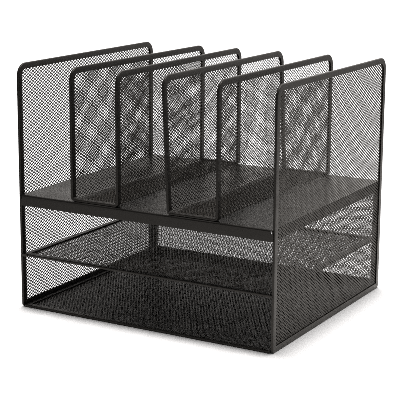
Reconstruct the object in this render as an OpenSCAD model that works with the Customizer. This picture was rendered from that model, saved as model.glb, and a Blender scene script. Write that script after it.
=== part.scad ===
// Desktop file sorter: two letter trays below a solid shelf, five upright sections above it.
// Sheet-steel shelf, expanded-steel panels held in folded steel rims, all welded into one frame.
// Millimetres. Origin at the middle of the footprint on the desk, +X to the right, +Y to the back, +Z up.

/* [Overall] */
// Width over the two side panels
body_w = 337; // [300:1:380]
// Depth of the side panels, front to back
body_d = 295; // [270:1:330]
// Height of the side panels and dividers
body_h = 292; // [260:1:330]

/* [Rims and mesh] */
// Face width of a folded rim
rim_w = 7; // [5:0.5:10]
// Thickness of a folded rim, across the panel
rim_t = 3; // [2.6:0.2:5]
// Thickness of the expanded-steel sheet
mesh_t = 0.8; // [0.6:0.1:1.2]
// Depth of the slot in a rim that grips the sheet's edge
slot_d = 5; // [3:0.5:6]
// Outer radius of the upright panels' top corners
top_r = 15; // [10:1:22]
// Outer radius of the side panels' bottom corners
foot_r = 4; // [2:0.5:6]
// Outer radius of the flat panels' corners
flat_r = 3; // [1.5:0.5:6]

/* [Solid shelf] */
// Height of the shelf's top face above the desk
shelf_z = 138; // [120:1:160]
// Thickness of the shelf's sheet
sheet_t = 1.2; // [0.8:0.1:1.6]
// Height of the shelf's folded edges, sheet included
lip_h = 13; // [10:0.5:18]
// How far the front and back lips lap over each side rim
lip_lap = 1.1; // [0.5:0.1:2]
// Outer radius of the shelf's long bends
lip_r = 2; // [1.4:0.1:3]
// Width of the relief hole at each end of a lip
relief_w = 2.2; // [1:0.1:3]
// Height of the relief hole
relief_h = 3.8; // [3.2:0.1:6]
// Depth of the relief hole's top below the shelf's top face
relief_down = 0.9; // [0.6:0.1:1.2]

/* [Trays] */
// Height of the middle shelf's top face above the desk
middle_z = 66; // [55:1:75]
// Width of the welded ears on the middle shelf's front bar
ear_w = 8; // [6:0.5:12]
// Thickness of those ears
ear_t = 0.8; // [0.5:0.1:1.2]

/* [Dividers] */
// Width of a divider over its two walls, at the base
divider_w = 65; // [55:1:75]
// Outer radius of the bend between a divider's base and its walls
bend_r = 5; // [4:0.5:8]
// Sideways place of the left divider's middle
left_divider_x = -63; // [-75:1:-55]
// Sideways place of the right divider's middle
right_divider_x = 66; // [55:1:75]
// Distance that a divider stands back from the side panels' front and back edges
divider_inset = 1; // [0:0.5:6]
// Outward lean of the right divider's left wall, in degrees
wall_lean = 2.75; // [0:0.25:4]
// How far the left divider's left wall is turned inwards, seen from above, in degrees
wall_toe = 1.5; // [0:0.25:3]

/* [Hidden] */
$fn = 48;
eps = 0.01;

charcoal = "#2e2c2a";    // powder coat on the rims
sheet_grey = "#3a3937";  // powder coat on the flat shelf
mesh_black = "#232220";  // powder coat on the expanded steel

side_x = body_w / 2 - rim_t;        // inner face of a side panel
inner_w = 2 * side_x;               // clear width between the side panels
front_y = -body_d / 2;              // front face of the side rims
back_y = body_d / 2;                // back face of the side rims
back_panel_y = back_y - rim_t;      // front face of the back panel
sheet_set = (rim_t - mesh_t) / 2;   // depth of the sheet below a rim's face
edge_in = rim_w - slot_d;           // distance from a rim's outer edge to the sheet's edge
shelf_under = shelf_z - sheet_t;    // underside of the solid shelf's sheet
divider_h = body_h - shelf_z;       // height of a divider
divider_d = body_d - 2 * divider_inset;
back_h = shelf_under - rim_t;       // height of the back panel, between bottom panel and shelf
middle_d = back_panel_y - front_y;  // depth of the middle shelf, up to the back panel
least_r = 0.6;                      // smallest radius drawn on an inner outline
kink_up = 1.5;                      // height above a bend at which the leaning wall starts
past = 10;                          // how far a cutting block passes the shape that it cuts

// ---- flat outlines ----

// A rectangle from the origin, with one radius on its two lower corners and one on its upper two.
module rounded_plate(w, h, low_r, high_r) {
    translate([low_r, 0]) square([w - 2 * low_r, low_r + eps]);
    translate([0, low_r]) square([w, h - low_r - high_r]);
    translate([high_r, h - high_r - eps]) square([w - 2 * high_r, high_r + eps]);
    for (side = [0, 1]) {
        translate([side ? w - low_r : low_r, low_r]) circle(low_r);
        translate([side ? w - high_r : high_r, h - high_r]) circle(high_r);
    }
}

// The same outline drawn smaller by a margin all round.
module inset_plate(w, h, low_r, high_r, margin) {
    translate([margin, margin])
        rounded_plate(w - 2 * margin, h - 2 * margin,
                      max(low_r - margin, least_r), max(high_r - margin, least_r));
}

// ---- framed panels, lying in X and Y with their lower face at z = 0 ----

module panel_sheet(w, h, low_r, high_r) {
    translate([0, 0, sheet_set])
        linear_extrude(mesh_t) inset_plate(w, h, low_r, high_r, edge_in);
}

module panel_rim(w, h, low_r, high_r) {
    difference() {
        linear_extrude(rim_t) difference() {
            rounded_plate(w, h, low_r, high_r);
            inset_plate(w, h, low_r, high_r, rim_w);
        }
        panel_sheet(w, h, low_r, high_r);
    }
}

// ---- side panels ----

// Stands a flat panel up along Y and Z, with its lower face at x.
module stand_sideways(x) {
    translate([x, front_y, 0]) rotate([90, 0, 90]) children();
}

module left_side_rim() {
    color(charcoal) stand_sideways(-body_w / 2) panel_rim(body_d, body_h, foot_r, top_r);
}

module left_side_mesh() {
    color(mesh_black) stand_sideways(-body_w / 2) panel_sheet(body_d, body_h, foot_r, top_r);
}

module right_side_rim() {
    color(charcoal) stand_sideways(side_x) panel_rim(body_d, body_h, foot_r, top_r);
}

module right_side_mesh() {
    color(mesh_black) stand_sideways(side_x) panel_sheet(body_d, body_h, foot_r, top_r);
}

// ---- bottom, back and middle shelf ----

// Lays a flat panel between the side panels, with its lower face at z.
module lay_flat(z) {
    translate([-side_x, front_y, z]) children();
}

module bottom_rim() {
    color(charcoal) lay_flat(0) panel_rim(inner_w, body_d, flat_r, flat_r);
}

module bottom_mesh() {
    color(mesh_black) lay_flat(0) panel_sheet(inner_w, body_d, flat_r, flat_r);
}

// Stands a flat panel up along X and Z, on the bottom panel and flush with the back.
module stand_back() {
    translate([-side_x, back_y, rim_t]) rotate([90, 0, 0]) children();
}

module back_rim() {
    color(charcoal) stand_back() panel_rim(inner_w, back_h, flat_r, flat_r);
}

module back_mesh() {
    color(mesh_black) stand_back() panel_sheet(inner_w, back_h, flat_r, flat_r);
}

// The front bar ends in two flat ears, welded on the front of the side rims.
module middle_shelf_rim() {
    color(charcoal) {
        lay_flat(middle_z - rim_t) panel_rim(inner_w, middle_d, flat_r, flat_r);
        for (side = [-1, 1])
            translate([side * (side_x + lip_lap - ear_w / 2) - ear_w / 2,
                       front_y - ear_t, middle_z - rim_t])
                cube([ear_w, ear_t, rim_t]);
    }
}

module middle_shelf_mesh() {
    color(mesh_black) lay_flat(middle_z - rim_t) panel_sheet(inner_w, middle_d, flat_r, flat_r);
}

// ---- solid shelf ----

// The sheet seen from its end: a flat top with a lip folded down at the front and at the back.
module shelf_profile(lip_out) {
    half = body_d / 2 + lip_out;
    difference() {
        union() {
            translate([-half, -lip_h]) square([2 * half, lip_h - lip_r]);
            translate([-half + lip_r, -lip_r - eps]) square([2 * (half - lip_r), lip_r + eps]);
            for (side = [-1, 1]) translate([side * (half - lip_r), -lip_r]) circle(lip_r);
        }
        translate([-half + sheet_t, -lip_h - eps])
            square([2 * (half - sheet_t), lip_h - sheet_t + eps]);
    }
}

// A cutter through a lip's thickness: a slot with round ends, standing on z = 0.
module relief_slot() {
    r = relief_w / 2;
    rotate([90, 0, 0]) linear_extrude(2 * sheet_t, center = true) {
        translate([-r, r]) square([relief_w, relief_h - relief_w]);
        for (z = [r, relief_h - r]) translate([0, z]) circle(r);
    }
}

module solid_shelf() {
    lip_w = inner_w + 2 * lip_lap;
    color(sheet_grey) translate([0, 0, shelf_z]) {
        difference() {
            translate([-lip_w / 2, 0, 0]) rotate([90, 0, 90])
                linear_extrude(lip_w) shelf_profile(sheet_t);
            // room for the side rims, which pass the sheet's ends between the two lips
            for (side = [-1, 1])
                translate([side * (side_x + lip_lap) - lip_lap, front_y, -lip_h - eps])
                    cube([2 * lip_lap, body_d, lip_h + 2 * eps]);
            // relief holes at the corners of the blank, where a lip meets a side lip
            for (side = [-1, 1], end = [-1, 1])
                translate([side * (side_x - relief_w / 2), end * (body_d / 2 + sheet_t / 2),
                           -relief_down - relief_h])
                    relief_slot();
        }
        // side lips, folded down against the side rims
        for (side = [-1, 1])
            translate([side * (side_x - sheet_t / 2) - sheet_t / 2, front_y + 2 * sheet_t, -lip_h])
                cube([sheet_t, back_panel_y - front_y - 2 * sheet_t, lip_h - sheet_t / 2]);
    }
}

// ---- dividers ----

// Part of a ring between two angles, both measured from +X and less than half a turn apart.
module ring_sector(r, t, from, to) {
    reach = 2 * r;
    middle = (from + to) / 2;
    intersection() {
        difference() {
            circle(r);
            circle(r - t);
        }
        polygon([[0, 0], for (a = [from, middle, to]) reach * [cos(a), sin(a)]]);
    }
}

// A bent edge seen from its end: a quarter turn up from the base, and a wall that leans outwards
// from just above it. skin is the strip's distance below the U's outer face, t its thickness and
// top its height. A short flat part laps into the base.
module edge_strip(skin, t, lean, top) {
    wall_x = bend_r - skin;
    kink = bend_r + kink_up;
    swing = (top - kink) * tan(lean);
    translate([-least_r, skin]) square([least_r, t]);
    translate([0, bend_r]) ring_sector(wall_x, t, 270, 360);
    translate([wall_x - t, bend_r]) square([t, kink_up + eps]);
    polygon([[wall_x - t, kink], [wall_x, kink], [wall_x + swing, top], [wall_x + swing - t, top]]);
}

// The same edge as long as a divider is deep, and past it at both ends.
module edge_shell(skin, t, lean) {
    translate([0, divider_d / 2 + past, 0]) rotate([90, 0, 0])
        linear_extrude(divider_d + 2 * past) edge_strip(skin, t, lean, divider_h + past);
}

// A sheet bent into a U. Its left wall, which leans, is also turned inwards towards the back.
module u_shell(skin, t, lean, toe) {
    foot_x = divider_w / 2 - bend_r;
    reach = divider_d / 2 + past;
    translate([0, 0, skin]) linear_extrude(t) polygon([
        [foot_x, -reach], [foot_x, reach],
        [(divider_d + past) * tan(toe) - foot_x, reach], [-past * tan(toe) - foot_x, -reach],
    ]);
    translate([foot_x, 0, 0]) edge_shell(skin, t, 0);
    translate([-foot_x, -divider_d / 2, 0]) rotate([0, 0, -toe])
        translate([0, divider_d / 2, 0]) mirror([1, 0, 0]) edge_shell(skin, t, lean);
}

// A block right across a divider and past its base, with the side view of one wall less a margin.
module wall_block(margin) {
    reach = divider_w + 2 * (past + divider_h * tan(wall_lean));
    translate([-reach / 2, -divider_d / 2, 0]) rotate([90, 0, 90])
        linear_extrude(reach) translate([margin, -past])
            rounded_plate(divider_d - 2 * margin, divider_h - margin + past,
                          least_r, top_r - margin);
}

// lean and toe are those of the left wall. The right wall is square to the base.
module divider_sheet(lean, toe) {
    intersection() {
        u_shell(sheet_set, mesh_t, lean, toe);
        wall_block(edge_in);
    }
}

module divider_rim(lean, toe) {
    difference() {
        intersection() {
            u_shell(0, rim_t, lean, toe);
            wall_block(0);
        }
        wall_block(rim_w);
        divider_sheet(lean, toe);
    }
}

module left_divider_rim() {
    color(charcoal) translate([left_divider_x, 0, shelf_z]) divider_rim(0, wall_toe);
}

module left_divider_mesh() {
    color(mesh_black) translate([left_divider_x, 0, shelf_z]) divider_sheet(0, wall_toe);
}

module right_divider_rim() {
    color(charcoal) translate([right_divider_x, 0, shelf_z]) divider_rim(wall_lean, 0);
}

module right_divider_mesh() {
    color(mesh_black) translate([right_divider_x, 0, shelf_z]) divider_sheet(wall_lean, 0);
}

left_side_rim();
left_side_mesh();
right_side_rim();
right_side_mesh();
bottom_rim();
bottom_mesh();
back_rim();
back_mesh();
middle_shelf_rim();
middle_shelf_mesh();
solid_shelf();
left_divider_rim();
left_divider_mesh();
right_divider_rim();
right_divider_mesh();
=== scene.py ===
"""The finished look of a black steel desktop file sorter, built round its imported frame.

Seven of its panels are expanded-steel sheets, each gripped by a steel strip that is folded round the
sheet's edge. The eighth is a plain bent shelf. Everything is in metres and in the frame's own axes:
+X to the right, +Y to the back and +Z up, with the desk at z = 0.
"""

import logging
import math
from abc import ABC, abstractmethod
from dataclasses import dataclass, field
from enum import Enum

import bmesh
import bpy
from mathutils import Matrix, Vector


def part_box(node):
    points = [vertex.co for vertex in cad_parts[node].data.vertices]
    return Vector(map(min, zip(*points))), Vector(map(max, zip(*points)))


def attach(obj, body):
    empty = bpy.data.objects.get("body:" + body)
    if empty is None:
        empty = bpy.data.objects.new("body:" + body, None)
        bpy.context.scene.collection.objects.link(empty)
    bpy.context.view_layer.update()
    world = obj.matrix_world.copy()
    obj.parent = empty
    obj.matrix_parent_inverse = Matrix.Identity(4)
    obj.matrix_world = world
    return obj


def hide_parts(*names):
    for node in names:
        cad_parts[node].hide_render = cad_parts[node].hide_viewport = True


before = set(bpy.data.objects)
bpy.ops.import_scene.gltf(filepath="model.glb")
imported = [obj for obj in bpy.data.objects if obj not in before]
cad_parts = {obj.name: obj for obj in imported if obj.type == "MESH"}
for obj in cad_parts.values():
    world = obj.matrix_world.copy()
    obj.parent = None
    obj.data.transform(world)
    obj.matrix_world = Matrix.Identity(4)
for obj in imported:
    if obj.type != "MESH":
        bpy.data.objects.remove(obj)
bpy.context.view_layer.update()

log = logging.getLogger("file_sorter")

MM = 0.001
MERGE = 0.005 * MM      # points closer than this are one point
QUARTER = math.pi / 2   # a quarter turn
SMOOTH_TO = 40.0        # degrees; an edge that is bent by more than this stays sharp
EASED_STEPS = 2         # faces across an eased edge
X_AXIS = Vector((1, 0, 0))
Z_AXIS = Vector((0, 0, 1))

Colour = tuple[float, float, float]
Point = tuple[float, float, float]


# ---------------------------------------------------------------- finishes


def fade(
    tree: bpy.types.NodeTree, follows: bpy.types.NodeSocket,
    over: tuple[float, float], values: tuple[float, float],
) -> bpy.types.NodeSocket:
    """Turns one value evenly into another.

    Args:
        tree: The nodes of a material or of the surroundings.
        follows: What the turning follows.
        over: Its values at which the turning starts and ends.
        values: The value before the start and the value past the end.

    Returns:
        The value socket.
    """
    span = tree.nodes.new("ShaderNodeMapRange")
    span.inputs["From Min"].default_value, span.inputs["From Max"].default_value = over
    span.inputs["To Min"].default_value, span.inputs["To Max"].default_value = values
    tree.links.new(follows, span.inputs["Value"])
    return span.outputs["Result"]


@dataclass(frozen=True)
class PowderCoat:
    """A baked powder coat on steel, with its fine orange peel, and rubbed edges that carry a painted
    highlight.

    Attributes:
        name: Material name.
        slot: The record's material slot; not used.
        colour: Linear base colour.
        wear_and_highlight: Linear colour of an edge, partly polished by hands and paper and partly a
            painted highlight.
        roughness: Lowest and highest roughness over the surface.
        peel: Width of one bump of the orange peel.
        peel_depth: Height of the orange peel.
        cloud: Width of a patch that is a shade lighter or darker.
        cloud_tones: Factors of the base colour in the darkest and the lightest patch.
        gloss_per_cloud: Patches of one roughness across a cloud.
        noise_span: Noise values between which a patch goes from one extreme to the other.
        edge: Lowest and highest pointiness between which the worn colour, with its painted highlight,
            comes in.
        ior: Refractive index of the coat's binder.
        sheen_tint: Warm tint of its reflections.
    """

    name: str
    slot: str
    colour: Colour
    wear_and_highlight: Colour
    roughness: tuple[float, float] = (0.38, 0.5)
    peel: float = 0.9 * MM
    peel_depth: float = 0.012 * MM
    cloud: float = 45 * MM
    cloud_tones: tuple[float, float] = (0.85, 1.15)
    gloss_per_cloud: float = 3.0
    noise_span: tuple[float, float] = (0.3, 0.7)
    edge: tuple[float, float] = (0.53, 0.62)
    ior: float = 1.5
    sheen_tint: Colour = (1.0, 0.96, 0.92)

    def make(self) -> bpy.types.Material:
        """Builds the material.

        Returns:
            The new material.
        """
        material = bpy.data.materials.new(self.name)
        material.use_nodes = True
        tree = material.node_tree
        shader = tree.nodes["Principled BSDF"]
        shader.inputs["IOR"].default_value = self.ior
        shader.inputs["Specular Tint"].default_value = (*self.sheen_tint, 1.0)
        where = tree.nodes.new("ShaderNodeTexCoord").outputs["Object"]
        tree.links.new(self._shade(tree, where), shader.inputs["Base Color"])
        tree.links.new(self._gloss(tree, where), shader.inputs["Roughness"])
        tree.links.new(self._peel(tree, where), shader.inputs["Normal"])
        return material

    @staticmethod
    def _noise(
        tree: bpy.types.NodeTree, where: bpy.types.NodeSocket, width: float, octaves: float
    ) -> bpy.types.NodeSocket:
        """Adds a noise whose patches are about one width across.

        Args:
            tree: The material's nodes.
            where: The coordinates that it follows.
            width: Width of a patch.
            octaves: Octaves of finer noise within it.

        Returns:
            The noise's value socket.
        """
        noise = tree.nodes.new("ShaderNodeTexNoise")
        noise.inputs["Scale"].default_value = 1 / width
        noise.inputs["Detail"].default_value = octaves
        tree.links.new(where, noise.inputs["Vector"])
        return noise.outputs["Fac"]

    def _shade(
        self, tree: bpy.types.NodeTree, where: bpy.types.NodeSocket
    ) -> bpy.types.NodeSocket:
        """Clouds the base colour a little and blends in the worn edges with their painted highlight.

        Args:
            tree: The material's nodes.
            where: The coordinates that it follows.

        Returns:
            The colour socket.
        """
        ramp = tree.nodes.new("ShaderNodeValToRGB")
        stops = zip(ramp.color_ramp.elements, self.noise_span, self.cloud_tones)
        for stop, position, tone in stops:
            stop.position = position
            stop.color = (*[c * tone for c in self.colour], 1.0)
        clouds = self._noise(tree, where, self.cloud, octaves=4.0)
        tree.links.new(clouds, ramp.inputs["Fac"])
        # Painted highlight and wear: the more pointed an edge, the more it takes the lighter edge
        # colour.
        pointed = tree.nodes.new("ShaderNodeNewGeometry").outputs["Pointiness"]
        rubbed_and_highlight = fade(tree, pointed, self.edge, (0.0, 1.0))
        mix = tree.nodes.new("ShaderNodeMix")
        mix.data_type = "RGBA"
        mix_a, mix_b = [s for s in mix.inputs if s.type == "RGBA"]
        mix_b.default_value = (*self.wear_and_highlight, 1.0)
        tree.links.new(rubbed_and_highlight, mix.inputs["Factor"])
        tree.links.new(ramp.outputs["Color"], mix_a)
        return [s for s in mix.outputs if s.type == "RGBA"][0]

    def _gloss(
        self, tree: bpy.types.NodeTree, where: bpy.types.NodeSocket
    ) -> bpy.types.NodeSocket:
        """Varies the roughness between its two values.

        Args:
            tree: The material's nodes.
            where: The coordinates that it follows.

        Returns:
            The roughness socket.
        """
        patches = self._noise(tree, where, self.cloud / self.gloss_per_cloud, octaves=6.0)
        return fade(tree, patches, self.noise_span, self.roughness)

    def _peel(
        self, tree: bpy.types.NodeTree, where: bpy.types.NodeSocket
    ) -> bpy.types.NodeSocket:
        """Adds the orange peel as a bump.

        Args:
            tree: The material's nodes.
            where: The coordinates that it follows.

        Returns:
            The normal socket.
        """
        bump = tree.nodes.new("ShaderNodeBump")
        bump.inputs["Distance"].default_value = self.peel_depth
        bumps = self._noise(tree, where, self.peel, octaves=2.0)
        tree.links.new(bumps, bump.inputs["Height"])
        return bump.outputs["Normal"]


# Each coat's second colour is its edge colour: partly wear, partly a painted highlight.
RIM_COAT = PowderCoat(
    "rim_powder_coat", "rim_coat", (0.006, 0.0055, 0.005), (0.02, 0.0185, 0.017), ior=1.4,
)
MESH_COAT = PowderCoat(
    "mesh_powder_coat", "mesh_coat", (0.017, 0.0148, 0.0122), (0.032, 0.029, 0.025), ior=1.35,
)
SHELF_COAT = PowderCoat(
    "shelf_powder_coat", "shelf_coat", (0.004, 0.0038, 0.0036), (0.01, 0.0095, 0.009),
    roughness=(0.3, 0.4), cloud=90 * MM, ior=1.4,
)


# ---------------------------------------------------------------- steel


def clamp(value: float, top: float) -> float:
    """Returns the value, or 0 or the top if it lies below or above them."""
    return min(max(value, 0.0), top)


@dataclass(frozen=True)
class Outline:
    """The outline of a flat sheet that is centred on the origin.

    Attributes:
        across: Size along X.
        up: Size along Y.
        low_r: Radius of the two corners at -Y.
        high_r: Radius of the two corners at +Y.
    """

    across: float
    up: float
    low_r: float
    high_r: float

    @property
    def half_x(self) -> float:
        """Returns half the size along X."""
        return self.across / 2

    @property
    def half_y(self) -> float:
        """Returns half the size along Y."""
        return self.up / 2


@dataclass(frozen=True)
class ExpandedSteel:
    """Stock expanded steel, slit and stretched into rows of diamonds.

    Attributes:
        length: Length of a diamond, from bond to bond.
        width: Width of a diamond, from bond to bond.
        strand: Width of a strand.
        gauge: Thickness of the steel.
        twist: How far stretching has lifted one edge of a strand, and sunk the other.
        least_part: Smallest part of a diamond, at the sheet's edge, that is still open.
        hidden: How far a rim covers the sheet. A diamond that lies wholly within it stays closed.
        sway: How far the rows of diamonds wander within the sheet.
        sway_over: Distances over which they wander once, along X and along Y.
        bow: How far the sheet stands off its plane between the rims.
        bow_over: Distance over which it bows once.
        held: Distance from the sheet's edge over which the rim still holds it true.
        least_edge: Shortest edge that shearing leaves on a diamond.
        corner_cuts: Straight cuts that shear a rounded corner.
        spare_rows: Rows of diamonds that are made beyond the sheet's corners and cut off.
    """

    length: float = 6.35 * MM
    width: float = 3.95 * MM
    strand: float = 0.93 * MM
    gauge: float = 0.48 * MM
    twist: float = 0.08 * MM
    least_part: float = 0.4
    hidden: float = 5 * MM
    sway: float = 0.14 * MM
    sway_over: tuple[float, float] = (57 * MM, 71 * MM)
    bow: float = 0.25 * MM
    bow_over: float = 130 * MM
    held: float = 30 * MM
    least_edge: float = 0.4 * MM
    corner_cuts: int = 4
    spare_rows: int = 2

    def cut(self, outline: Outline, phase: float) -> bmesh.types.BMesh:
        """Cuts a sheet with its diamonds along X.

        Args:
            outline: The sheet's outline.
            phase: Where the sheet's waves start, so that no two sheets are alike.

        Returns:
            The sheet, half its gauge above and half below z = 0.
        """
        bm = bmesh.new()
        rows = outline.across / self.length + outline.up / self.width
        cells = math.ceil(rows) + self.spare_rows
        bmesh.ops.create_grid(bm, x_segments=cells, y_segments=cells, size=cells / 2)
        bmesh.ops.rotate(bm, verts=bm.verts, matrix=Matrix.Rotation(QUARTER / 2, 3, "Z"))
        stretch = Vector((self.length, self.width, 1.0)) / math.sqrt(2)
        bmesh.ops.scale(bm, verts=bm.verts, vec=stretch)
        self._trim(bm, outline)
        bmesh.ops.dissolve_degenerate(bm, dist=self.least_edge, edges=bm.edges)
        self._open(bm, outline)
        self._wave(bm, outline, phase)
        bmesh.ops.solidify(bm, geom=bm.faces[:], thickness=self.gauge)
        bmesh.ops.translate(bm, verts=bm.verts, vec=(0, 0, self.gauge / 2))
        return bm

    def _trim(self, bm: bmesh.types.BMesh, outline: Outline) -> None:
        """Shears the sheet to its outline, one straight cut at a time.

        Args:
            bm: The sheet.
            outline: Its outline.
        """
        radii = (outline.high_r, outline.high_r, outline.low_r, outline.low_r)
        for quarter, radius in enumerate(radii):
            middle = (quarter + 0.5) * QUARTER
            hub = Vector((
                math.copysign(outline.half_x - radius, math.cos(middle)),
                math.copysign(outline.half_y - radius, math.sin(middle)), 0.0,
            ))
            for cut in range(self.corner_cuts):
                angle = (quarter + cut / self.corner_cuts) * QUARTER
                outwards = Vector((math.cos(angle), math.sin(angle), 0.0))
                bmesh.ops.bisect_plane(
                    bm, geom=bm.verts[:] + bm.edges[:] + bm.faces[:], dist=MERGE,
                    plane_co=hub + radius * outwards, plane_no=outwards, clear_outer=True,
                )

    def _open(self, bm: bmesh.types.BMesh, outline: Outline) -> None:
        """Opens the diamonds and twists the strands between them.

        Args:
            bm: The trimmed sheet, still closed.
            outline: Its outline.
        """
        least = self.least_part * self.length * self.width / 2
        seen_x = outline.half_x - self.hidden + self.length / 2
        seen_y = outline.half_y - self.hidden + self.width / 2
        diamonds = []
        for face in bm.faces:
            middle = face.calc_center_median()
            if abs(middle.x) < seen_x and abs(middle.y) < seen_y and face.calc_area() > least:
                diamonds.append(face)
        bmesh.ops.inset_individual(
            bm, faces=diamonds, thickness=self.strand / 2, use_even_offset=True
        )
        for hole in diamonds:
            middle = hole.calc_center_median()
            for vert in hole.verts:
                vert.co.z += self.twist * (vert.co.y - middle.y) / (self.width / 2)
        bmesh.ops.delete(bm, geom=diamonds, context="FACES")

    def _wave(self, bm: bmesh.types.BMesh, outline: Outline, phase: float) -> None:
        """Lets the rows wander and the sheet bow, more and more away from its edges.

        The waves start at multiples of the phase, so that they don't rise and fall together.

        Args:
            bm: The open sheet.
            outline: Its outline.
            phase: Where the waves start.
        """
        turn = 2 * math.pi
        for vert in bm.verts:
            x, y = vert.co.x, vert.co.y
            free_x = clamp((outline.half_x - abs(x)) / self.held, 1.0)
            free_y = clamp((outline.half_y - abs(y)) / self.held, 1.0)
            free = free_x * free_y
            vert.co.x += free * self.sway * math.sin(turn * y / self.sway_over[1] + phase)
            vert.co.y += free * self.sway * math.sin(turn * x / self.sway_over[0] + 2 * phase)
            wave = math.sin(turn * x / self.bow_over + 3 * phase)
            vert.co.z += free * self.bow * wave * math.cos(turn * y / self.bow_over + phase)


FLAT_STEEL = ExpandedSteel()
BACK_STEEL = ExpandedSteel(strand=0.72 * MM)
DIVIDER_STEEL = ExpandedSteel(strand=0.6 * MM, gauge=0.4 * MM)


@dataclass(frozen=True)
class TightCorner:
    """A corner that was bent wider than it should be, and what draws it out.

    Attributes:
        points: The points of the bend.
        centre: The centre that it was bent round.
        before: Which way the strip faced outwards before the bend.
        after: Which way it faces outwards after it.
        drawn: How much is to come off its radius.
    """

    points: list[bmesh.types.BMVert]
    centre: Vector
    before: Vector
    after: Vector
    drawn: float

    def draw_out(self, least_r: float) -> None:
        """Shifts the centre of each arc towards the corner, and takes as much off its radius.

        Args:
            least_r: Smallest radius that an arc is left with.
        """
        for vert in self.points:
            arm = vert.co - self.centre
            flat = arm.dot(self.before) * self.before + arm.dot(self.after) * self.after
            square = min(self.drawn, flat.length - least_r)
            vert.co += square * (self.before + self.after - flat / flat.length)


@dataclass
class FoldedStrip:
    """A steel strip that is folded round a sheet's edge, and run round the sheet as its rim.

    Its own axes are X, outwards from the sheet, Y, ahead along the edge, and Z, through the sheet. A
    corner that is tighter than the strip is wide is bent wide first, and drawn out when it is closed.

    Attributes:
        place: Where the strip's outer edge is now, and which way it is heading.
        width: Face width of the folded strip.
        thick: Thickness over both legs.
        gauge: Thickness of the steel.
        fold_r: Outer radius of the fold.
        ease: How far the sheared ends of the legs are eased.
        fold_steps: Faces across each half of the fold.
        least_r: Smallest radius left inside a tight corner.
        bm: The strip so far.
        end: Its last section.
        tight: The tight corners, which are drawn out last.
    """

    place: Matrix
    width: float = 7.0 * MM
    thick: float = 3.0 * MM
    gauge: float = 1.1 * MM
    fold_r: float = 1.2 * MM
    ease: float = 0.25 * MM
    fold_steps: int = 4
    least_r: float = 0.4 * MM
    bm: bmesh.types.BMesh = field(default_factory=bmesh.new)
    end: list[bmesh.types.BMVert | bmesh.types.BMEdge] = field(default_factory=list)
    tight: list[TightCorner] = field(default_factory=list)

    def __post_init__(self) -> None:
        """Draws the strip's section at its starting place and rounds its folds."""
        face = self.thick / 2
        half = [(-self.width, face - self.ease), (self.ease - self.width, face), (0.0, face)]
        points = half + [(x, -z) for x, z in reversed(half)]
        verts = [self.bm.verts.new((x, 0.0, z)) for x, z in points]
        for pair in zip(verts, verts[1:]):
            self.bm.edges.new(pair)
        fold = verts[2:4]
        bmesh.ops.bevel(
            self.bm, geom=fold, offset=self.fold_r, affect="VERTICES",
            segments=self.fold_steps, profile=0.5, material=-1, offset_type="WIDTH",
        )
        bmesh.ops.transform(self.bm, matrix=self.place, verts=self.bm.verts)
        self.end = self.bm.verts[:] + self.bm.edges[:]

    @classmethod
    def from_front(cls, place: Matrix, start: Vector, thick: float) -> "FoldedStrip":
        """Starts a strip that heads along a panel's own X, with its outer edge to the panel's -Y.

        Args:
            place: The panel's place.
            start: The middle of the strip's outer edge at its start, in the panel's axes.
            thick: The strip's thickness over both legs.

        Returns:
            The strip.
        """
        outwards = Vector((0, -1, 0))
        axes = Matrix((outwards, X_AXIS, outwards.cross(X_AXIS))).transposed().to_4x4()
        return cls(place @ Matrix.Translation(start) @ axes, thick=thick)

    def _sweep(
        self, hub: Vector, axle: Vector, angle: float, step: Vector, steps: int
    ) -> list[bmesh.types.BMVert]:
        """Sweeps the strip's end round an axle or along a step.

        Args:
            hub: A point on the axle.
            axle: Direction of the axle.
            angle: How far to turn.
            step: How far to move at each step.
            steps: Number of steps.

        Returns:
            The new points, with those of the old end.
        """
        known = len(self.bm.verts)
        old = [v for v in self.end if isinstance(v, bmesh.types.BMVert)]
        swept = bmesh.ops.spin(
            self.bm, geom=self.end, cent=hub, axis=axle, dvec=step, angle=angle, steps=steps
        )
        self.end = swept["geom_last"]
        self.bm.verts.ensure_lookup_table()
        return old + self.bm.verts[known:]

    def ahead(self, distance: float) -> None:
        """Runs straight on.

        Args:
            distance: How far.
        """
        step = self.place.to_3x3() @ Vector((0.0, distance, 0.0))
        self._sweep(self.place.translation, Z_AXIS, 0.0, step, 1)
        self.place = Matrix.Translation(step) @ self.place

    def bend(
        self, hub: Vector, axle: Vector, angle: float, steps: int
    ) -> list[bmesh.types.BMVert]:
        """Turns about an axle, both given in the strip's own axes.

        Args:
            hub: A point on the axle.
            axle: Direction of the axle.
            angle: How far to turn.
            steps: Number of steps.

        Returns:
            The points of the bend.
        """
        centre = self.place @ hub
        axis = self.place.to_3x3() @ axle
        points = self._sweep(centre, axis, angle, Vector(), steps)
        turn = Matrix.Rotation(angle, 4, axis)
        self.place = Matrix.Translation(centre) @ turn @ Matrix.Translation(-centre) @ self.place
        return points

    def corner(self, radius: float, steps: int) -> None:
        """Turns a square corner in the sheet's plane.

        Args:
            radius: Outer radius.
            steps: Number of steps.
        """
        reach = self.bend_radius(radius)
        before = self.place.to_3x3() @ X_AXIS
        centre = self.place @ Vector((-reach, 0, 0))
        points = self.bend(Vector((-reach, 0, 0)), Z_AXIS, QUARTER, steps)
        after = self.place.to_3x3() @ X_AXIS
        if reach > radius:
            self.tight.append(TightCorner(points, centre, before, after, reach - radius))

    def bend_radius(self, radius: float) -> float:
        """Returns the radius that a corner is bent to, before it is drawn out to its own."""
        return max(radius, self.width + self.least_r)

    def close(self) -> bmesh.types.BMesh:
        """Joins the strip's end to its start and gives the steel its thickness.

        Returns:
            The finished rim.
        """
        for corner in self.tight:
            corner.draw_out(self.least_r)
        bmesh.ops.remove_doubles(self.bm, verts=self.bm.verts, dist=MERGE)
        bmesh.ops.recalc_face_normals(self.bm, faces=self.bm.faces)
        bmesh.ops.solidify(self.bm, geom=self.bm.faces[:], thickness=self.gauge)
        return self.bm


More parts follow.
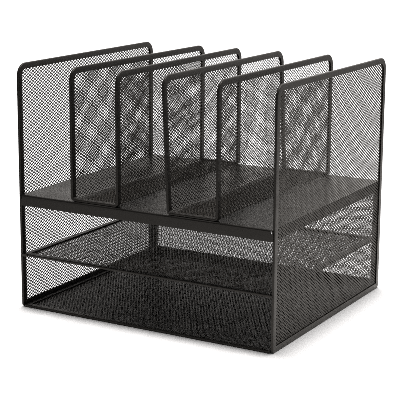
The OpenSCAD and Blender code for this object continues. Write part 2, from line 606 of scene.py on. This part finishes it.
def finish_piece(
    bm: bmesh.types.BMesh, name: str, node: str, coat: PowderCoat,
    coats: dict[str, bpy.types.Material],
) -> bpy.types.Object:
    """Turns a bmesh into a piece of the object, in place of its CAD node.

    Args:
        bm: The shape, in place. It is freed.
        name: The piece's name.
        node: The CAD node that it stands for.
        coat: Its finish.
        coats: The materials that are already made, by name.

    Returns:
        The piece.
    """
    mesh = bpy.data.meshes.new(name)
    bm.to_mesh(mesh)
    bm.free()
    mesh.shade_smooth()
    mesh.set_sharp_from_angle(angle=math.radians(SMOOTH_TO))
    piece = bpy.data.objects.new(name, mesh)
    bpy.context.scene.collection.objects.link(piece)
    if coat.name not in coats:
        coats[coat.name] = coat.make()
    mesh.materials.append(coats[coat.name])
    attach(piece, "root")
    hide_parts(node)
    log.info("%s: %d faces", name, len(mesh.polygons))
    return piece


# ---------------------------------------------------------------- panels


def rim_thickness() -> float:
    """Returns the thickness of every folded rim, which a side panel's rim shows along X."""
    low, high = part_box("left_side_rim")
    return high.x - low.x


class Lay(Enum):
    """How a flat panel lies: where its own X, along the diamonds, and its own Y go."""

    SIDEWAYS = ((0, 1, 0), (0, 0, 1))
    FLAT = ((0, 1, 0), (-1, 0, 0))
    BACK = ((0, 0, 1), (1, 0, 0))

    def turn(self) -> Matrix:
        """Returns the rotation from the panel's own axes to the frame's."""
        along, up = (Vector(v) for v in self.value)
        return Matrix((along, up, along.cross(up))).transposed().to_4x4()


@dataclass(kw_only=True)
class RimmedPanel(ABC):
    """A panel that is a sheet of expanded steel in one folded rim.

    Attributes:
        name: The panel's name, to which the nodes add _mesh and _rim.
        steel: The steel of its sheet.
        phase: Where the waves of its sheet start.
        edge_in: Distance from the rim's outer edge to the sheet's edge.
    """

    name: str
    steel: ExpandedSteel
    phase: float
    edge_in: float = 2 * MM

    @abstractmethod
    def sheet(self) -> bmesh.types.BMesh:
        """Returns the panel's sheet, in place."""

    @abstractmethod
    def rim(self) -> bmesh.types.BMesh:
        """Returns the panel's rim, in place."""

    def build(self, coats: dict[str, bpy.types.Material]) -> None:
        """Makes both pieces.

        Args:
            coats: The materials that are already made.
        """
        name = self.name
        finish_piece(self.sheet(), f"{name}_expanded_sheet", f"{name}_mesh", MESH_COAT, coats)
        finish_piece(self.rim(), f"{name}_folded_rim", f"{name}_rim", RIM_COAT, coats)


@dataclass(kw_only=True)
class FramedPanel(RimmedPanel):
    """A flat panel.

    Attributes:
        lay: How it lies.
        low_r: Outer radius of its corners at -Y, in its own axes.
        high_r: Outer radius of its corners at +Y.
        least_r: Smallest radius of its sheet's corners.
        corner_steps: Faces round each corner of its rim.
    """

    lay: Lay
    steel: ExpandedSteel = FLAT_STEEL
    low_r: float = 3 * MM
    high_r: float = 3 * MM
    least_r: float = 1 * MM
    corner_steps: int = 8

    def place(self) -> Matrix:
        """Returns the panel's place: from its own axes, centred on its middle, to the frame's."""
        low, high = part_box(f"{self.name}_mesh")
        return Matrix.Translation((low + high) / 2) @ self.lay.turn()

    def sheet_size(self) -> tuple[float, float]:
        """Measures the sheet.

        Returns:
            Its size along the panel's own X and Y.
        """
        low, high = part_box(f"{self.name}_mesh")
        size = self.lay.turn().transposed() @ (high - low)
        return abs(size.x), abs(size.y)

    def sheet(self) -> bmesh.types.BMesh:
        """Cuts the sheet and puts it in place.

        Returns:
            The sheet.
        """
        radii = (max(r - self.edge_in, self.least_r) for r in (self.low_r, self.high_r))
        bm = self.steel.cut(Outline(*self.sheet_size(), *radii), self.phase)
        bmesh.ops.transform(bm, matrix=self.place(), verts=bm.verts)
        return bm

    def rim(self) -> bmesh.types.BMesh:
        """Runs the rim round the sheet, from the middle of its lower edge.

        Returns:
            The rim, in place.
        """
        across, up = (size + 2 * self.edge_in for size in self.sheet_size())
        start = Vector((0, -up / 2, 0))
        strip = FoldedStrip.from_front(self.place(), start, rim_thickness())
        low, high = strip.bend_radius(self.low_r), strip.bend_radius(self.high_r)
        runs = (
            (across / 2 - low, self.low_r),
            (up - low - high, self.high_r),
            (across - 2 * high, self.high_r),
            (up - low - high, self.low_r),
        )
        for distance, radius in runs:
            strip.ahead(distance)
            strip.corner(radius, self.corner_steps)
        strip.ahead(across / 2 - low)
        return strip.close()


@dataclass(kw_only=True)
class SidePanel(FramedPanel):
    """A side panel of the full height, with wide corners at the top."""

    lay: Lay = Lay.SIDEWAYS
    low_r: float = 4 * MM
    high_r: float = 15 * MM


@dataclass(kw_only=True)
class MiddleShelf(FramedPanel):
    """The tray floor at mid height, whose front bar ends in two ears on the side posts.

    Attributes:
        ear_width: Width of an ear.
        ear_ease: How far the ears' edges are eased.
    """

    lay: Lay = Lay.FLAT
    ear_width: float = 8 * MM
    ear_ease: float = 0.25 * MM

    def rim(self) -> bmesh.types.BMesh:
        """Adds the ears to the shelf's rim.

        Returns:
            The rim and the ears, in place.
        """
        bm = super().rim()
        low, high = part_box(f"{self.name}_rim")
        sheet_low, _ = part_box(f"{self.name}_mesh")
        front = sheet_low.y - self.edge_in
        size = Vector((self.ear_width, front - low.y, high.z - low.z))
        for side in (-1, 1):
            ear = bmesh.ops.create_cube(bm, size=1.0)["verts"]
            bmesh.ops.scale(bm, verts=ear, vec=size)
            middle = Vector((side * (high.x - size.x / 2), low.y + size.y / 2, low.z + size.z / 2))
            bmesh.ops.translate(bm, verts=ear, vec=middle)
            edges = list({e for v in ear for e in v.link_edges})
            bmesh.ops.bevel(
                bm, geom=edges, offset=self.ear_ease, affect="EDGES",
                segments=EASED_STEPS, profile=0.5, material=-1,
            )
        return bm


@dataclass
class SolidShelf:
    """The bent sheet between the trays and the upright sections.

    Attributes:
        name: The shelf's name and its node's.
        ease: Radius that shearing and coating leave on the sheet's edges.
        sharp: Edges bent by more than this many degrees are eased.
        flat_to: Faces that meet at less than this many degrees are one face.
    """

    name: str = "solid_shelf"
    ease: float = 0.2 * MM
    sharp: float = 50.0
    flat_to: float = 0.5

    def sheet(self) -> bmesh.types.BMesh:
        """Eases the edges of the bent sheet.

        Returns:
            The sheet, in place.
        """
        bm = bmesh.new()
        bm.from_mesh(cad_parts[self.name].data)
        bmesh.ops.remove_doubles(bm, verts=bm.verts, dist=MERGE)
        bmesh.ops.dissolve_limit(
            bm, angle_limit=math.radians(self.flat_to), verts=bm.verts, edges=bm.edges
        )
        edges = [e for e in bm.edges if e.calc_face_angle(0.0) > math.radians(self.sharp)]
        bmesh.ops.bevel(
            bm, geom=edges, offset=self.ease, affect="EDGES", segments=EASED_STEPS,
            profile=0.5, material=-1, clamp_overlap=True,
        )
        return bm

    def build(self, coats: dict[str, bpy.types.Material]) -> None:
        """Makes the shelf, whose flat faces keep one even shade up to their eased edges.

        Args:
            coats: The materials that are already made.
        """
        shelf = finish_piece(self.sheet(), f"{self.name}_sheet", self.name, SHELF_COAT, coats)
        flat = shelf.modifiers.new("flat_faces", "WEIGHTED_NORMAL")
        flat.keep_sharp = True


@dataclass(kw_only=True)
class Divider(RimmedPanel):
    """A panel bent into a U, whose rim follows it all the way.

    Attributes:
        lean: Angle at which the left wall leans out, in radians.
        toe: Angle by which the left wall is turned inwards, seen from above, in radians.
        base_w: Width over both walls at the base.
        bend_r: Outer radius of the bends at the base.
        bend_steps: Faces round each of these bends.
        kink_up: Height above its bend at which a leaning wall starts.
        kink_out: Distance from the wall's middle to the axle that it leans about, in rim thicknesses.
        top_r: Outer radius of the walls' top corners.
        corner_steps: Faces round each top corner.
    """

    steel: ExpandedSteel = DIVIDER_STEEL
    lean: float = 0.0
    toe: float = 0.0
    base_w: float = 65 * MM
    bend_r: float = 5 * MM
    bend_steps: int = 6
    kink_up: float = 1.5 * MM
    kink_out: float = 2.0
    top_r: float = 15 * MM
    corner_steps: int = 10

    @property
    def foot(self) -> float:
        """Returns half the width of the base's flat part."""
        return self.base_w / 2 - self.bend_r

    def _layout(self) -> tuple[Vector, float, float]:
        """Measures the divider from the frame.

        Returns:
            The middle of its base's underside, its depth and its height.
        """
        low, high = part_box(f"{self.name}_rim")
        origin = Vector((high.x - self.base_w / 2, (low.y + high.y) / 2, low.z))
        return origin, high.y - low.y, high.z - low.z

    def _turn_in(self, bm: bmesh.types.BMesh) -> None:
        """Turns the left wall inwards, about its front end.

        Args:
            bm: The rim or the sheet, bent up and in place.
        """
        origin, depth, _ = self._layout()
        for vert in bm.verts:
            share = (origin.x + self.foot - vert.co.x) / (2 * self.foot)
            back = vert.co.y - origin.y + depth / 2
            vert.co.x += clamp(share, 1.0) * back * math.tan(self.toe)

    def _wall_length(self, height: float, lean: float) -> float:
        """Measures a wall along its slope, above its kink.

        Args:
            height: Height of the wall's top above the base's underside.
            lean: How far it leans.

        Returns:
            Its length.
        """
        return (height - self.bend_r - self.kink_up) / math.cos(lean)

    def rim(self) -> bmesh.types.BMesh:
        """Runs the rim round both walls and the base, from the middle of the base's front edge.

        Returns:
            The rim, in place.
        """
        origin, depth, height = self._layout()
        thick = rim_thickness()
        start = Vector((0, -depth / 2, thick / 2))
        strip = FoldedStrip.from_front(Matrix.Translation(origin), start, thick)
        inside = Vector((0, 0, self.bend_r - thick / 2))
        outside = Vector((0, 0, -self.kink_out * thick))
        strip.ahead(self.foot)
        for lean, last in ((0.0, 2 * self.foot), (self.lean, self.foot)):
            # The kink lifts the wall's inner face, half a thickness inside its middle, by this much.
            lift = thick * math.sin(lean) * (self.kink_out + 0.5)
            wall = self._wall_length(height - lift, lean) - self.top_r
            strip.bend(inside, X_AXIS, QUARTER, self.bend_steps)
            strip.ahead(self.kink_up)
            strip.bend(outside, X_AXIS, -lean, 1)
            strip.ahead(wall)
            strip.corner(self.top_r, self.corner_steps)
            strip.ahead(depth - 2 * self.top_r)
            strip.corner(self.top_r, self.corner_steps)
            strip.ahead(wall)
            strip.bend(outside, X_AXIS, -lean, 1)
            strip.ahead(self.kink_up)
            strip.bend(inside, X_AXIS, QUARTER, self.bend_steps)
            strip.ahead(last)
        bm = strip.close()
        self._turn_in(bm)
        return bm

    def sheet(self) -> bmesh.types.BMesh:
        """Cuts the sheet flat and bends it up round the base.

        Returns:
            The sheet, in place.
        """
        origin, depth, height = self._layout()
        top_r = self.top_r - self.edge_in
        right, left = (
            self._wall_length(height - self.edge_in, lean) + self.kink_up
            for lean in (0.0, self.lean)
        )
        middle = rim_thickness() / 2
        mid_r = self.bend_r - middle
        flat = 2 * self.foot + 2 * mid_r * QUARTER + right + left
        outline = Outline(depth - 2 * self.edge_in, flat, top_r, top_r)
        bm = self.steel.cut(outline, self.phase)
        for vert in bm.verts:
            x, z = self._bend_up(vert.co.y - (left - right) / 2, vert.co.z, mid_r)
            vert.co = Vector((x, -vert.co.x, z + middle)) + origin
        self._turn_in(bm)
        return bm

    def _bend_up(self, along: float, skin: float, mid_r: float) -> tuple[float, float]:
        """Finds where a point of the flat sheet goes when the sheet is bent into a U.

        Args:
            along: Its distance from the middle of the base, along the flat sheet.
            skin: Its height above the sheet's middle.
            mid_r: Radius of the bend at the sheet's middle.

        Returns:
            Its x and z, from the middle of the base.
        """
        side, reach = math.copysign(1.0, along), abs(along)
        angle = clamp((reach - self.foot) / mid_r, QUARTER)
        rise = max(reach - self.foot - mid_r * QUARTER, 0.0)
        lean = self.lean if side < 0 else 0.0
        leaning = max(rise - self.kink_up, 0.0)
        tip = lean if rise > self.kink_up else 0.0
        x = min(reach, self.foot) + (mid_r - skin) * math.sin(angle) + leaning * math.sin(lean)
        z = mid_r - (mid_r - skin) * math.cos(angle) + min(rise, self.kink_up)
        z += leaning * math.cos(lean) + skin * math.sin(tip)
        return side * x, z


# ---------------------------------------------------------------- studio


@dataclass
class Studio:
    """A pale floor in white surroundings, soft light from overhead and behind, and the camera.

    Floor and surroundings are plain wherever they are seen directly. What the surroundings throw on
    the steel is dimmer and uneven, as it is between the black flags of a product set. Where the steel
    sees the floor, the floor's colour is a painted pool of light that fades to painted shade.

    Attributes:
        floor_size: Side of the floor.
        floor_tone: Linear colour of the floor where it is seen directly.
        painted_light_pool_at: Middle of the painted pool of light in the floor's colour, as the steel
            meets it.
        painted_light_pool_over: Distances from it at which the painted pool starts to fade and ends.
        painted_light_pool_tones: Linear tones of the floor in the painted pool of light and in the
            painted shade beyond it.
        light_tint: Warm tint of the surroundings and of the overhead light.
        sky_white: Strength of the surroundings where they are seen directly.
        sky_strengths: What the steel gets of them, from the flags and from their brightest part.
        sky_bright_to: Direction of their brightest part.
        sky_over: Cosines, from that direction, between which they turn from dim to bright.
        key_from: Direction that the overhead light comes from.
        key_power: Its irradiance, in watts per square metre.
        key_spread: The angle that it fills, in degrees.
        eye: Where the camera stands.
        turn: How far it is turned to the left of +Y, in degrees.
        down: How far it looks down, in degrees.
        roll: How far it is rolled, in degrees.
        lens: Its focal length, in millimetres.
        sees_to: How far it sees.
        film_filter: Width of the film's filter, in the renderer's own unit.
    """

    floor_size: float = 60.0
    floor_tone: Colour = (0.87, 0.89, 0.92)
    painted_light_pool_at: Point = (0.4, 0.15, 0.0)
    painted_light_pool_over: tuple[float, float] = (0.2, 1.4)
    painted_light_pool_tones: tuple[float, float] = (1.2, 0.18)
    light_tint: Colour = (1.0, 0.96, 0.92)
    sky_white: float = 1.0
    sky_strengths: tuple[float, float] = (0.15, 1.8)
    sky_bright_to: Point = (-0.1, 1.0, 0.15)
    sky_over: tuple[float, float] = (0.1, 0.95)
    key_from: Point = (-0.04, 0.055, 1.0)
    key_power: float = 3.6
    key_spread: float = 12.0
    eye: Point = (0.779, -1.375, 0.484)
    turn: float = 29.77
    down: float = 12.90
    roll: float = 0.37
    lens: float = 120.3
    sees_to: float = 100.0
    film_filter: float = 0.8

    def build(self) -> None:
        """Adds the floor, the surroundings, the light and the camera."""
        self._floor()
        self._sky()
        self._key()
        self._camera()
        scene = bpy.context.scene
        scene.view_settings.view_transform = "Standard"
        scene.cycles.use_denoising = False
        scene.cycles.use_adaptive_sampling = False
        scene.cycles.filter_width = self.film_filter

    @staticmethod
    def _seen_or_not(
        tree: bpy.types.NodeTree, seen: bpy.types.NodeSocket, unseen: bpy.types.NodeSocket
    ) -> bpy.types.NodeSocket:
        """Chooses between the look of the floor or the surroundings and what they give the steel.

        Args:
            tree: Their nodes.
            seen: Their look where they are seen directly.
            unseen: Their look from the steel.

        Returns:
            The shader socket.
        """
        mix = tree.nodes.new("ShaderNodeMixShader")
        path = tree.nodes.new("ShaderNodeLightPath")
        tree.links.new(path.outputs["Is Camera Ray"], mix.inputs["Fac"])
        tree.links.new(unseen, mix.inputs[1])
        tree.links.new(seen, mix.inputs[2])
        return mix.outputs["Shader"]

    def _floor(self) -> None:
        """Adds the plain pale floor."""
        bm = bmesh.new()
        bmesh.ops.create_grid(bm, x_segments=1, y_segments=1, size=self.floor_size / 2)
        mesh = bpy.data.meshes.new("floor")
        bm.to_mesh(mesh)
        bm.free()
        floor = bpy.data.objects.new("floor", mesh)
        mesh.materials.append(self._floor_paint())
        bpy.context.scene.collection.objects.link(floor)

    def _floor_paint(self) -> bpy.types.Material:
        """Builds the floor's material: matt and pale, and, where the steel meets it, a painted pool
        of light that fades to painted shade.

        Returns:
            The material.
        """
        paint = bpy.data.materials.new("floor_paint")
        paint.use_nodes = True
        tree = paint.node_tree
        tree.nodes.remove(tree.nodes["Principled BSDF"])
        matt = tree.nodes.new("ShaderNodeBsdfDiffuse")
        matt.inputs["Color"].default_value = (*self.floor_tone, 1.0)
        # Painted light and shade: as the steel sees it, the floor's colour is a bright pool that
        # fades to a dark tone.
        away = tree.nodes.new("ShaderNodeVectorMath")
        away.operation = "DISTANCE"
        away.inputs[1].default_value = self.painted_light_pool_at
        where = tree.nodes.new("ShaderNodeTexCoord").outputs["Object"]
        tree.links.new(where, away.inputs[0])
        tone = fade(tree, away.outputs["Value"], self.painted_light_pool_over, self.painted_light_pool_tones)
        painted_pool_matt = tree.nodes.new("ShaderNodeBsdfDiffuse")
        tree.links.new(tone, painted_pool_matt.inputs["Color"])
        look = self._seen_or_not(tree, matt.outputs["BSDF"], painted_pool_matt.outputs["BSDF"])
        tree.links.new(look, tree.nodes["Material Output"].inputs["Surface"])
        return paint

    def _sky(self) -> None:
        """Adds the surroundings, brightest at the back and near the horizon."""
        world = bpy.data.worlds.new("surroundings")
        world.use_nodes = True
        tree = world.node_tree
        white = tree.nodes["Background"]
        white.inputs["Color"].default_value = (1.0, 1.0, 1.0, 1.0)
        white.inputs["Strength"].default_value = self.sky_white
        towards = tree.nodes.new("ShaderNodeVectorMath")
        towards.operation = "DOT_PRODUCT"
        towards.inputs[1].default_value = Vector(self.sky_bright_to).normalized()
        where = tree.nodes.new("ShaderNodeTexCoord").outputs["Generated"]
        tree.links.new(where, towards.inputs[0])
        strength = fade(tree, towards.outputs["Value"], self.sky_over, self.sky_strengths)
        lit = tree.nodes.new("ShaderNodeBackground")
        lit.inputs["Color"].default_value = (*self.light_tint, 1.0)
        tree.links.new(strength, lit.inputs["Strength"])
        look = self._seen_or_not(tree, white.outputs["Background"], lit.outputs["Background"])
        tree.links.new(look, tree.nodes["World Output"].inputs["Surface"])
        bpy.context.scene.world = world

    def _key(self) -> None:
        """Adds the soft light overhead."""
        light = bpy.data.lights.new("key_light", "SUN")
        light.energy = self.key_power
        light.color = self.light_tint
        light.angle = math.radians(self.key_spread)
        lamp = bpy.data.objects.new("key_light", light)
        lamp.location = Vector(self.key_from)
        lamp.rotation_euler = (-Vector(self.key_from)).to_track_quat("-Z", "Y").to_euler()
        bpy.context.scene.collection.objects.link(lamp)

    def _camera(self) -> None:
        """Adds the camera, at the view that the sorter is usually seen from."""
        lens = bpy.data.cameras.new("camera")
        lens.lens = self.lens
        lens.clip_end = self.sees_to
        camera = bpy.data.objects.new("camera", lens)
        camera.matrix_world = (
            Matrix.Translation(self.eye)
            @ Matrix.Rotation(math.radians(self.turn), 4, "Z")
            @ Matrix.Rotation(QUARTER - math.radians(self.down), 4, "X")
            @ Matrix.Rotation(math.radians(self.roll), 4, "Z")
        )
        bpy.context.scene.collection.objects.link(camera)
        bpy.context.scene.camera = camera


def main() -> None:
    """Builds the sorter and its studio."""
    logging.basicConfig(level=logging.INFO, format="%(message)s")
    Studio().build()
    coats: dict[str, bpy.types.Material] = {}
    parts = (
        SidePanel(name="left_side", phase=0.4),
        SidePanel(name="right_side", phase=2.9),
        FramedPanel(name="bottom", phase=1.3, lay=Lay.FLAT),
        FramedPanel(name="back", phase=5.1, lay=Lay.BACK, steel=BACK_STEEL),
        MiddleShelf(name="middle_shelf", phase=3.7),
        SolidShelf(),
        Divider(name="left_divider", phase=4.6, toe=math.radians(1.5)),
        Divider(name="right_divider", phase=2.2, lean=math.radians(2.75)),
    )
    for part in parts:
        part.build(coats)


if __name__ == "__main__":
    main()
